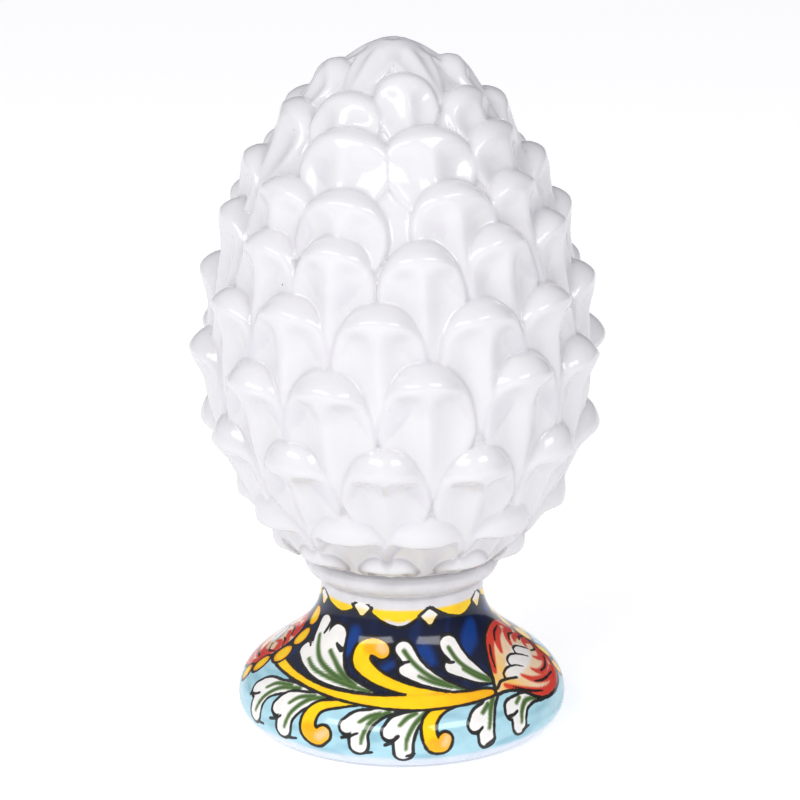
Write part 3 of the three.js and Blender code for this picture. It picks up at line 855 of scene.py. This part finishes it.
ROYAL = linear("04418c")
TURQUOISE_DEEP = linear("8ab9c9")
MARGIN = linear("d9dfe9")
BARE = linear("dcdbde")
GREEN_DEEP = linear("3a5c2a")
PEACH = linear("f3d9b8")
GOLD = linear("f8c440")
BLUSH = linear("f6cfa0")
BAND_TOP = 68.8
YELLOW_TOP = 67.5
SWAG_LEAN = 0.06
SWAG_POWER = 1.75
PALE_LOW = 62
# Angle of each bud, and the lowest point of the swag that ends there
BUDS = [(-71, 62.6), (-29, 63.8), (19.5, 61.3), (65.5, 62.6),
        (110, 62.8), (155, 61.8), (199, 62.8), (243, 62.0)]
BUD_ABOVE = 3.5
# A bud's corners from its middle, in degrees and mm, and where its sides have points
BUD_CORNERS = [(-8, 0.4), (0, 3.4), (8, 0.4), (1.5, -3.4), (-1.5, -3.4)]
BUD_ROUNDING = (0.08, 0.5, 0.92)
FIELD_EDGE = 34.0
SPLINE_STEPS = 10
# Distances in mm past which the paint no longer counts them
FAR = 9.0
NEAR_MORE = 4.0
FARTHER = 36.0
LEAST_RADIUS = 5.0
# The underside counts as this far up the outside, so nothing is painted there
UNDERSIDE = -5.0
UNDERSIDE_TOP = 4 * MM


def spline(points):
    """Even curve through rows of numbers."""
    rows = np.asarray(points, dtype=float)
    rows = np.concatenate([[2 * rows[0] - rows[1]], rows, [2 * rows[-1] - rows[-2]]])
    made = []
    for i in range(1, len(rows) - 2):
        a, b, c, d = rows[i - 1:i + 3]
        for t in np.arange(SPLINE_STEPS) / SPLINE_STEPS:
            made.append(0.5 * (2 * b + (c - a) * t + (2 * a - 5 * b + 4 * c - d) * t ** 2
                               + (3 * b - a - 3 * c + d) * t ** 3))
    made.append(rows[-2])
    return np.array(made)


class Paper:
    """The foot's outside laid flat without bending its angles, to paint on."""

    def __init__(self, mesh, sizes):
        self.sizes = sizes
        count = len(mesh.vertices)
        points = np.empty(count * 3)
        mesh.vertices.foreach_get("co", points)
        self.points = points.reshape(count, 3)
        outline = foot_profile(sizes)[UNDER_POINTS:-OVER_POINTS]
        step = np.hypot(*np.diff(outline, axis=0).T)
        middle = (outline[1:, 0] + outline[:-1, 0]) / 2
        self.way = np.concatenate([[0], np.cumsum(step)]) / MM
        self.flat = np.concatenate([[0], np.cumsum(step / middle)])
        self.outline_radius = outline[:, 0] / MM
        radius = np.hypot(self.points[:, 0], self.points[:, 1])
        self.turn = np.arctan2(self.points[:, 0], -self.points[:, 1])
        outside = (radius > sizes.rest_radius) | (self.points[:, 2] > UNDERSIDE_TOP)
        self.up = np.where(outside, np.interp(self.points[:, 2], outline[:, 1], self.way), UNDERSIDE)
        self.across = np.interp(self.up, self.way, self.flat)
        self.radius = radius / MM
        self.colour = np.tile(np.array(sizes.white), (count, 1))
        self.ink = np.full(count, FAR)

    def lay(self, path):
        """Degrees and way up turned into the flat sheet's own numbers."""
        path = np.array(path, dtype=float)
        path[:, 0] = np.radians(path[:, 0])
        path[:, 1] = np.interp(path[:, 1], self.way, self.flat)
        return path

    def near(self, path, margin):
        """Points near a path, their place on the sheet, and the path there."""
        middle = (path[:, 0].min() + path[:, 0].max()) / 2
        turn = (self.turn - middle + math.pi) % (2 * math.pi) - math.pi
        wide = (path[:, 0].max() - path[:, 0].min()) / 2
        gap = margin / np.maximum(self.radius, LEAST_RADIUS)
        inside = np.abs(turn) < wide + gap
        inside &= self.across > path[:, 1].min() - gap
        inside &= self.across < path[:, 1].max() + gap
        index = np.nonzero(inside)[0]
        place = np.stack([turn[index] + middle, self.across[index]], axis=1)
        return index, place

    def stroke(self, path):
        """Distance in mm from a brush line of changing width, less than 0 on it."""
        line = self.lay(spline(path))
        index, place = self.near(line, FAR + NEAR_MORE)
        distance = np.full(len(self.turn), FAR)
        best = np.full(len(index), FARTHER)
        for a, b in zip(line[:-1], line[1:]):
            way = b[:2] - a[:2]
            share = np.clip(((place - a[:2]) @ way) / max(way @ way, 1e-12), 0, 1)
            gap = np.hypot(*(place - a[:2] - share[:, None] * way).T) * self.radius[index]
            best = np.minimum(best, gap - (a[2] + (b[2] - a[2]) * share))
        distance[index] = np.minimum(best, FAR)
        return distance

    def patch(self, ring):
        """Distance in mm from a closed line, less than 0 inside it."""
        closed = np.concatenate([ring[-2:], ring, ring[:3]])
        line = self.lay(spline(closed))
        line = line[2 * SPLINE_STEPS:-2 * SPLINE_STEPS]
        index, place = self.near(line, FAR + NEAR_MORE)
        best = np.full(len(index), FARTHER)
        inside = np.zeros(len(index), dtype=bool)
        for a, b in zip(line, np.roll(line, -1, axis=0)):
            way = b - a
            share = np.clip(((place - a) @ way) / max(way @ way, 1e-12), 0, 1)
            gap = np.hypot(*(place - a - share[:, None] * way).T) * self.radius[index]
            best = np.minimum(best, gap)
            if a[1] != b[1]:
                across = (a[1] > place[:, 1]) != (b[1] > place[:, 1])
                cut = a[0] + (place[:, 1] - a[1]) * way[0] / way[1]
                inside ^= across & (place[:, 0] < cut)
        distance = np.full(len(self.turn), FAR)
        distance[index] = np.minimum(np.where(inside, -best, best), FAR)
        return distance

    def fill(self, distance, colour, line):
        """Paints a shape over what is there and draws its dark line."""
        on = distance < 0
        self.colour[on] = colour[on] if np.ndim(colour) == 2 else colour
        self.ink = np.maximum(self.ink, -distance)
        if line:
            self.ink = np.minimum(self.ink, np.abs(distance) - line / 2)

    def wash(self, distance, colour, strength=1.0, soft=0.35):
        """Brushes a colour over a shape with soft edges."""
        share = strength * smooth(soft, -soft, distance)[:, None]
        self.colour = self.colour * (1 - share) + np.asarray(colour) * share


def mix(a, b, share):
    """Colours between a and b for each share."""
    share = np.clip(share, 0, 1)[:, None]
    return np.asarray(a) * (1 - share) + np.asarray(b) * share


# Seed, most waves round and steepest waves upwards of each uneven colour
COBALT_GRAIN = (3, 40, 0.7)
SKY_GRAIN = (5, 14, 1.3)
MARGIN_GRAIN = (7, 12, 0.01)
GOLD_GRAIN = (11, 60, 0.5)
SCROLL_GRAIN = (13, 30, 0.4)
SWAG_GRAIN = (17, 20, 0.3)
GRAIN_WAVES = 7


def brush_grain(paper, grain):
    """Slow uneven strength of a brushed colour, from a few crossing waves."""
    seed, across, along = grain
    rng = np.random.default_rng(seed)
    value = np.zeros(len(paper.turn))
    for _ in range(GRAIN_WAVES):
        turns = rng.integers(1, across)
        waves = rng.uniform(-along, along)
        phase = rng.uniform(0, 2 * math.pi)
        value += np.sin(turns * paper.turn + waves * paper.up + phase)
    return value / GRAIN_WAVES


PATTERN_STARTS = (0, 180)
FULL_BRUSH = 0.95
THIN_COBALT = 0.25
DEEP_SKY = 0.6
PATCH_SOFT = 1.6
MARGIN_TOP = 10.6
MARGIN_WAVE = 1.2
MARGIN_SOFT = 1.2
MARGIN_LOW = 1.0


def paint_fields(paper):
    """Cobalt above the scroll, turquoise under it and a bare margin."""
    sizes = paper.sizes
    grain = brush_grain(paper, COBALT_GRAIN)
    cobalt = mix(sizes.cobalt, ROYAL, THIN_COBALT * smooth(0.0, 0.5, grain))
    grain = brush_grain(paper, SKY_GRAIN)
    sky = mix(sizes.turquoise, TURQUOISE_DEEP, DEEP_SKY * smooth(-0.05, 0.45, grain))
    base = MARGIN_TOP + MARGIN_WAVE * brush_grain(paper, MARGIN_GRAIN)
    sky = mix(sky, MARGIN, smooth(base + MARGIN_SOFT, base - MARGIN_SOFT, paper.up))
    paper.colour = np.where((paper.up > FIELD_EDGE)[:, None], cobalt, sky)
    for start in PATTERN_STARTS:
        for path in BLUE_PATCHES:
            patch = paper.stroke(np.array(path) + np.array([start, 0, 0]))
            patch = np.maximum(patch, FIELD_EDGE + 1 - paper.up)
            paper.wash(patch, ROYAL, FULL_BRUSH, PATCH_SOFT)
    paper.colour[paper.up < MARGIN_LOW] = np.asarray(MARGIN)


LEAF_SHIFT = (0.3, 0.15)
LEAF_FULLER = 0.4
INSET = 0.3
VEIN_FULLER = 0.15
VEIN_SOFT = 0.28
VEIN_MIDDLE = 0.5
VEIN_STRENGTH = (0.97, 0.75)


def paint_leaves(paper, start, line, rng):
    """White leaves with green veins."""
    for lobes, veins in LEAVES:
        aside, upward = [rng.uniform(-most, most) for most in LEAF_SHIFT]
        shift = np.array([start + aside, upward, 0])
        leaf = np.full(len(paper.turn), FAR)
        for lobe in lobes:
            leaf = np.minimum(leaf, paper.stroke(np.array(lobe) + shift))
        leaf = leaf - LEAF_FULLER
        paper.fill(leaf, paper.sizes.white, line)
        for vein in veins:
            distance = paper.stroke(np.array(vein) + shift) - VEIN_FULLER
            inner = leaf + INSET
            paper.wash(np.maximum(distance, inner), paper.sizes.green, VEIN_STRENGTH[0], VEIN_SOFT)
            paper.wash(np.maximum(distance + VEIN_MIDDLE, inner), GREEN_DEEP, VEIN_STRENGTH[1])
    for path in NOTCHES:
        distance = paper.stroke(np.array(path) + np.array([start, 0, 0]))
        paper.ink = np.minimum(paper.ink, distance)


GOLD_TURNS = (64, 50)
GOLD_RANGE = (0.7, 0.5)
EDGE_LINE = 1.2
HEART_SOFT = 0.8
FLAME_SOFT = 0.3
BEAD_SHADE = (-2.2, -0.5)


def paint_flower(paper, start, line):
    """The flower that the scroll grows from, with its bead rope."""
    def placed(path):
        """A path moved to this pattern, as far round as its flower reaches."""
        path = np.array(path, dtype=float)
        path[:, 0] = start + FLOWER_START + (path[:, 0] - FLOWER_START) * FLOWER_REACH[start]
        return path

    edge = paper.patch(placed(FLOWER))
    turn = (np.degrees(paper.turn) - start) % 360
    gold = GOLD_RANGE[0] + GOLD_RANGE[1] * brush_grain(paper, GOLD_GRAIN)
    gold = smooth(*GOLD_TURNS, turn) * gold
    paper.fill(edge, mix(PEACH, GOLD, gold), line * EDGE_LINE)
    heart = paper.patch(placed(FLOWER_HEART))
    paper.wash(np.maximum(heart, edge), paper.sizes.white, FULL_BRUSH, HEART_SOFT)
    for path in FLOWER_RED:
        flame = np.maximum(paper.stroke(placed(path)), edge + INSET)
        paper.wash(flame, paper.sizes.red, FULL_BRUSH, FLAME_SOFT)
    for path in [*FLOWER_DARK, *FLOWER_LINES]:
        paper.ink = np.minimum(paper.ink, np.maximum(paper.stroke(placed(path)), edge))
    for turn, up, wide, high in BEADS:
        angles = np.radians(np.arange(0, 360, 45))
        radius = float(np.interp(up, paper.way, paper.outline_radius))
        ring = np.stack([np.degrees(wide * np.cos(angles) / radius), high * np.sin(angles)], axis=1)
        bead = paper.patch(ring + placed([(turn, up)]))
        shade = smooth(*BEAD_SHADE, bead) * FULL_BRUSH
        paper.fill(bead, mix(paper.sizes.yellow, paper.sizes.orange, shade), line)


WARM_TURNS = (4, 40)
WARM_END = (52, 44)
WARM_SHARE = 0.6
SHADE_EDGE = (-1.2, -0.4)
SHADE_UNEVEN = (-0.45, 0.25)
SHADE_SHARE = 0.75
# A curl's head: how much smaller in mm, inset in mm, strength and softness of its two washes
HEAD_ORANGE = (0.4, 0.3, 0.6, 1.3)
HEAD_BLUSH = (1.7, 0.6, 0.8, 1.2)
HEAD_ASIDE = (0.8, 0.7)
JOINT = [(4, 34.6, 1.9), (12, 34.2, 1.9), (21, 33.0, 1.5)]


def paint_scroll(paper, start, line):
    """Yellow stem with its three curls, shaded orange."""
    yellow, orange = paper.sizes.yellow, paper.sizes.orange
    shift = np.array([start, 0, 0])
    turn = (np.degrees(paper.turn) - start + 180) % 360 - 180
    uneven = brush_grain(paper, SCROLL_GRAIN)
    for path in [*CURLS, STEM]:
        distance = paper.stroke(np.array(path) + shift)
        warm = WARM_SHARE * smooth(*WARM_TURNS, turn) * smooth(*WARM_END, turn)
        shade = smooth(*SHADE_EDGE, distance) * smooth(*SHADE_UNEVEN, uneven)
        warm = warm + SHADE_SHARE * shade
        paper.fill(distance, mix(yellow, orange, warm), line)
        if path is not STEM:
            for count, aside, colour, wash in ((3, (0, 0), orange, HEAD_ORANGE),
                                               (2, HEAD_ASIDE, BLUSH, HEAD_BLUSH)):
                smaller, inset, strength, soft = wash
                head = paper.stroke(np.array(path[-count:]) + shift + np.array([*aside, 0]))
                paper.wash(np.maximum(head + smaller, distance + inset), colour, strength, soft)
    joint = paper.stroke(np.array(JOINT) + shift)
    paper.ink = np.where(joint < 0, np.maximum(paper.ink, -joint), paper.ink)


SWAG_ORANGE = 0.2
PALE_ABOVE = (2.1, 1.4)
PALE_TURNS = (0.42, 0.25)
YELLOW_FADE = (-0.5, 0.4)
BUD_SHADE = (0.6, -1.2)
BUD_YELLOW = 0.6
BAND_EDGE = 0.2


def paint_band(paper, line):
    """Yellow swags round the neck, a pale bud between each two."""
    yellow, orange = paper.sizes.yellow, paper.sizes.orange
    turn = np.degrees(paper.turn)
    for (left, _), (right, low) in zip(BUDS, BUDS[1:] + [(BUDS[0][0] + 360, BUDS[0][1])]):
        middle = (left + right) / 2 + SWAG_LEAN * (right - left)
        away = (turn - middle + 180) % 360 - 180
        half = np.where(away < 0, middle - left, right - middle)
        share = np.clip(np.abs(away) / half, 0, 1)
        depth = BAND_TOP - low
        edge = BAND_TOP - depth * (1 - share ** SWAG_POWER)
        slope = depth * SWAG_POWER * share ** (SWAG_POWER - 1) / half * np.degrees(1 / paper.radius)
        here = np.abs(away) <= half
        swag = np.where(here, (edge - paper.up) / np.sqrt(1 + slope ** 2), FAR)
        colour = mix(yellow, orange, SWAG_ORANGE * smooth(0.0, 0.6, brush_grain(paper, SWAG_GRAIN)))
        pale = smooth(*PALE_ABOVE, paper.up - edge) * smooth(*PALE_TURNS, share) * (low < PALE_LOW)
        pale = np.maximum(pale, smooth(*YELLOW_FADE, paper.up - YELLOW_TOP))
        inside = np.maximum(swag, paper.up - BAND_TOP - BAND_EDGE)
        paper.fill(inside, mix(colour, BARE, pale), 0)
        lower = np.where(here & (paper.up < BAND_TOP), np.abs(swag), FAR)
        paper.ink = np.minimum(paper.ink, lower - line / 2)
    for turn, low in BUDS:
        middle = low + BUD_ABOVE
        ring = []
        for (a, b), (c, d) in zip(BUD_CORNERS, BUD_CORNERS[1:] + BUD_CORNERS[:1]):
            for t in BUD_ROUNDING:
                ring.append((turn + a + (c - a) * t, middle + b + (d - b) * t))
        bud = paper.patch(np.array(ring))
        shade = BUD_YELLOW * smooth(*BUD_SHADE, paper.up - middle)
        paper.fill(bud, mix(paper.sizes.white, yellow, shade), line)


RIM_BARE = 1.5
BARE_ABOVE = 0.6
LEAF_SEED = 21


def paint_foot(mesh, sizes):
    """Paints the whole foot and stores its colours and dark lines on the mesh."""
    paper = Paper(mesh, sizes)
    line = sizes.line_width / MM
    rng = np.random.default_rng(LEAF_SEED)
    paint_fields(paper)
    for start in PATTERN_STARTS:
        paint_leaves(paper, start, line, rng)
        paint_scroll(paper, start, line)
    for start in PATTERN_STARTS:
        paint_flower(paper, start, line)
    paint_band(paper, line)
    bare = (paper.up > BAND_TOP - BAND_EDGE) | (paper.up < RIM_BARE)
    paper.ink = np.where(bare & (paper.ink > 0), FAR, paper.ink)
    above = paper.up > BAND_TOP + BARE_ABOVE
    paper.colour[above] = np.asarray(BARE)
    paper.ink[above] = FAR
    add_colours(mesh, "paint", paper.colour)
    add_values(mesh, "ink", paper.ink)


# Painted tin glaze: metal oxides brushed on the raw white glaze and fired into it, so
# the colours are a little uneven and lie under one glossy skin; manganese black lines
BRUSH_SIZE = 2.2 * MM
BRUSH_WOBBLE = 0.5
INK_EDGE = 0.12
INK_SHARE = 0.97
WASH_SIZE = 4.5 * MM
WASH_AT = (0.3, 0.7)
WASH_ENDS = (0.95, 1.03)


def painted_glaze(sizes):
    """Painted glaze of the foot."""
    material, tree, place = new_glaze("painted_tin_glaze")
    brush = add_node(tree, "ShaderNodeTexNoise", {
        "Vector": place, "Scale": 1 / BRUSH_SIZE, "Detail": 2.0}).outputs["Fac"]
    wobble = add_node(tree, "ShaderNodeMath", {0: brush, 1: BRUSH_WOBBLE, 2: -BRUSH_WOBBLE / 2},
                      operation="MULTIPLY_ADD").outputs[0]
    moved = add_node(tree, "ShaderNodeMath", {0: stored(tree, "ink"), 1: wobble},
                     operation="ADD").outputs[0]
    line = ramp(tree, moved, (INK_EDGE, -INK_EDGE), (0, INK_SHARE))
    uneven = add_node(tree, "ShaderNodeTexNoise", {
        "Vector": place, "Scale": 1 / WASH_SIZE, "Detail": 3.0}).outputs["Fac"]
    washed = add_node(tree, "ShaderNodeHueSaturation", {
        "Color": stored(tree, "paint", "Color"), "Value": ramp(tree, uneven, WASH_AT, WASH_ENDS)})
    colour = blend(tree, line, washed.outputs["Color"], (*sizes.ink, 1))
    finish_glaze(tree, place, colour, GLAZE_ROUGHNESS)
    return material


class FINIAL_OT_foot(bpy.types.Operator):
    """Turn the foot with its collar and paint it"""

    bl_idname = "finial.foot"
    bl_label = "Painted foot"

    def execute(self, context):
        sizes = context.scene.finial_foot
        material = painted_glaze(sizes)
        mesh = turn_foot(sizes, material)
        paint_foot(mesh, sizes)
        finish_piece(make_object("painted_foot", mesh))
        return {"FINISHED"}


# Stage: pale floor, camera at the photograph's angle and two softboxes. Each light has
# its angle round from the front, its angle up, distance, width, height and radiance
LIGHTS = {
    "softbox_left": (-37, 35, 1.4, 1.0, 0.3, 6.4),
    "softbox_right": (38, 35, 1.4, 0.66, 0.34, 5.8),
}
WORLD_FRONT = "fdfdff"
WORLD_BACK = "8c8b96"
WORLD_STRENGTH = 0.76
FLOOR_GLOW = 0.29
WORLD_TURN = (-0.35, -0.55, 0.75)
FLOOR_HALF = 8.0
VIEW_GAMMA = 0.86
FLOOR_ROUGHNESS = 0.9
WORLD_RANGE = (-0.55, 0.6)
SENSOR_WIDTH = 36
CLIP = (0.05, 40)
AIM_HEIGHT = 125 * MM
SHIFT = (-0.0023, -0.0191)


class FINIAL_OT_stage(bpy.types.Operator):
    """Set the floor, the lights and the camera"""

    bl_idname = "finial.stage"
    bl_label = "Stage"

    def execute(self, context):
        scene = context.scene
        sizes = scene.finial_stage
        aim = Vector((0, 0, AIM_HEIGHT))
        back = Vector((0, -math.cos(sizes.camera_height), math.sin(sizes.camera_height)))
        camera = bpy.data.objects.new("camera", bpy.data.cameras.new("camera"))
        camera.data.lens = sizes.lens
        camera.data.sensor_width = SENSOR_WIDTH
        camera.data.shift_x, camera.data.shift_y = SHIFT
        camera.data.clip_start, camera.data.clip_end = CLIP
        camera.location = aim + back * sizes.camera_distance
        camera.rotation_euler = (-back).to_track_quat("-Z", "Y").to_euler()
        scene.collection.objects.link(camera)
        scene.camera = camera
        for name, (turn, up, distance, width, height, radiance) in LIGHTS.items():
            lamp = bpy.data.lights.new(name, "AREA")
            lamp.shape = "RECTANGLE"
            lamp.size, lamp.size_y = width, height
            lamp.energy = radiance * math.pi * width * height
            turn, up = math.radians(turn), math.radians(up)
            away = Vector((math.sin(turn) * math.cos(up), -math.cos(turn) * math.cos(up),
                           math.sin(up)))
            light = bpy.data.objects.new(name, lamp)
            light.location = aim + away * distance
            light.rotation_euler = away.to_track_quat("Z", "Y").to_euler()
            scene.collection.objects.link(light)
        world = bpy.data.worlds.new("studio")
        world.use_nodes = True
        tree = world.node_tree
        around = add_node(tree, "ShaderNodeTexCoord").outputs["Generated"]
        toward = add_node(tree, "ShaderNodeVectorMath", {0: around, 1: WORLD_TURN},
                          operation="DOT_PRODUCT").outputs["Value"]
        share = ramp(tree, toward, WORLD_RANGE, kind="SMOOTHSTEP")
        sky = blend(tree, share, rgba(WORLD_BACK), rgba(WORLD_FRONT))
        tree.links.new(sky, tree.nodes["Background"].inputs["Color"])
        tree.nodes["Background"].inputs["Strength"].default_value = WORLD_STRENGTH
        scene.world = world
        scene.view_settings.view_transform = "Standard"
        scene.view_settings.gamma = VIEW_GAMMA
        # White acrylic, matt and lit faintly from below, so that it reads as white ground
        mesh = bpy.data.meshes.new("floor")
        half = FLOOR_HALF
        mesh.from_pydata([(-half, -half, 0), (half, -half, 0), (half, half, 0), (-half, half, 0)],
                         [], [(0, 1, 2, 3)])
        paint = bpy.data.materials.new("backlit_white_acrylic")
        paint.use_nodes = True
        shader = paint.node_tree.nodes["Principled BSDF"]
        shader.inputs["Base Color"].default_value = (*sizes.floor_colour, 1)
        shader.inputs["Roughness"].default_value = FLOOR_ROUGHNESS
        shader.inputs["Emission Color"].default_value = (1, 1, 1, 1)
        shader.inputs["Emission Strength"].default_value = FLOOR_GLOW
        mesh.materials.append(paint)
        make_object("floor", mesh)
        return {"FINISHED"}


class FINIAL_PT_pieces(bpy.types.Panel):
    """Pieces of the finial"""

    bl_idname = "FINIAL_PT_pieces"
    bl_label = "Pinecone finial"
    bl_space_type = "VIEW_3D"
    bl_region_type = "UI"
    bl_category = "Finial"

    def draw(self, context):
        for settings, kind in ((context.scene.finial_cone, FINIAL_OT_cone),
                               (context.scene.finial_foot, FINIAL_OT_foot),
                               (context.scene.finial_stage, FINIAL_OT_stage)):
            box = self.layout.box()
            box.operator(kind.bl_idname)
            for name in settings.bl_rna.properties.keys():
                if name not in {"rna_type", "name"}:
                    box.prop(settings, name)


CLASSES = (FinialConeSettings, FinialFootSettings, FinialStageSettings, FINIAL_OT_cone,
           FINIAL_OT_foot, FINIAL_OT_stage, FINIAL_PT_pieces)


def register():
    for kind in CLASSES:
        bpy.utils.register_class(kind)
    bpy.types.Scene.finial_cone = bpy.props.PointerProperty(type=FinialConeSettings)
    bpy.types.Scene.finial_foot = bpy.props.PointerProperty(type=FinialFootSettings)
    bpy.types.Scene.finial_stage = bpy.props.PointerProperty(type=FinialStageSettings)


def unregister():
    del bpy.types.Scene.finial_stage
    del bpy.types.Scene.finial_foot
    del bpy.types.Scene.finial_cone
    for kind in reversed(CLASSES):
        bpy.utils.unregister_class(kind)


def main():
    register()
    bpy.ops.finial.stage()
    bpy.ops.finial.cone()
    bpy.ops.finial.foot()


if __name__ == "__main__":
    main()
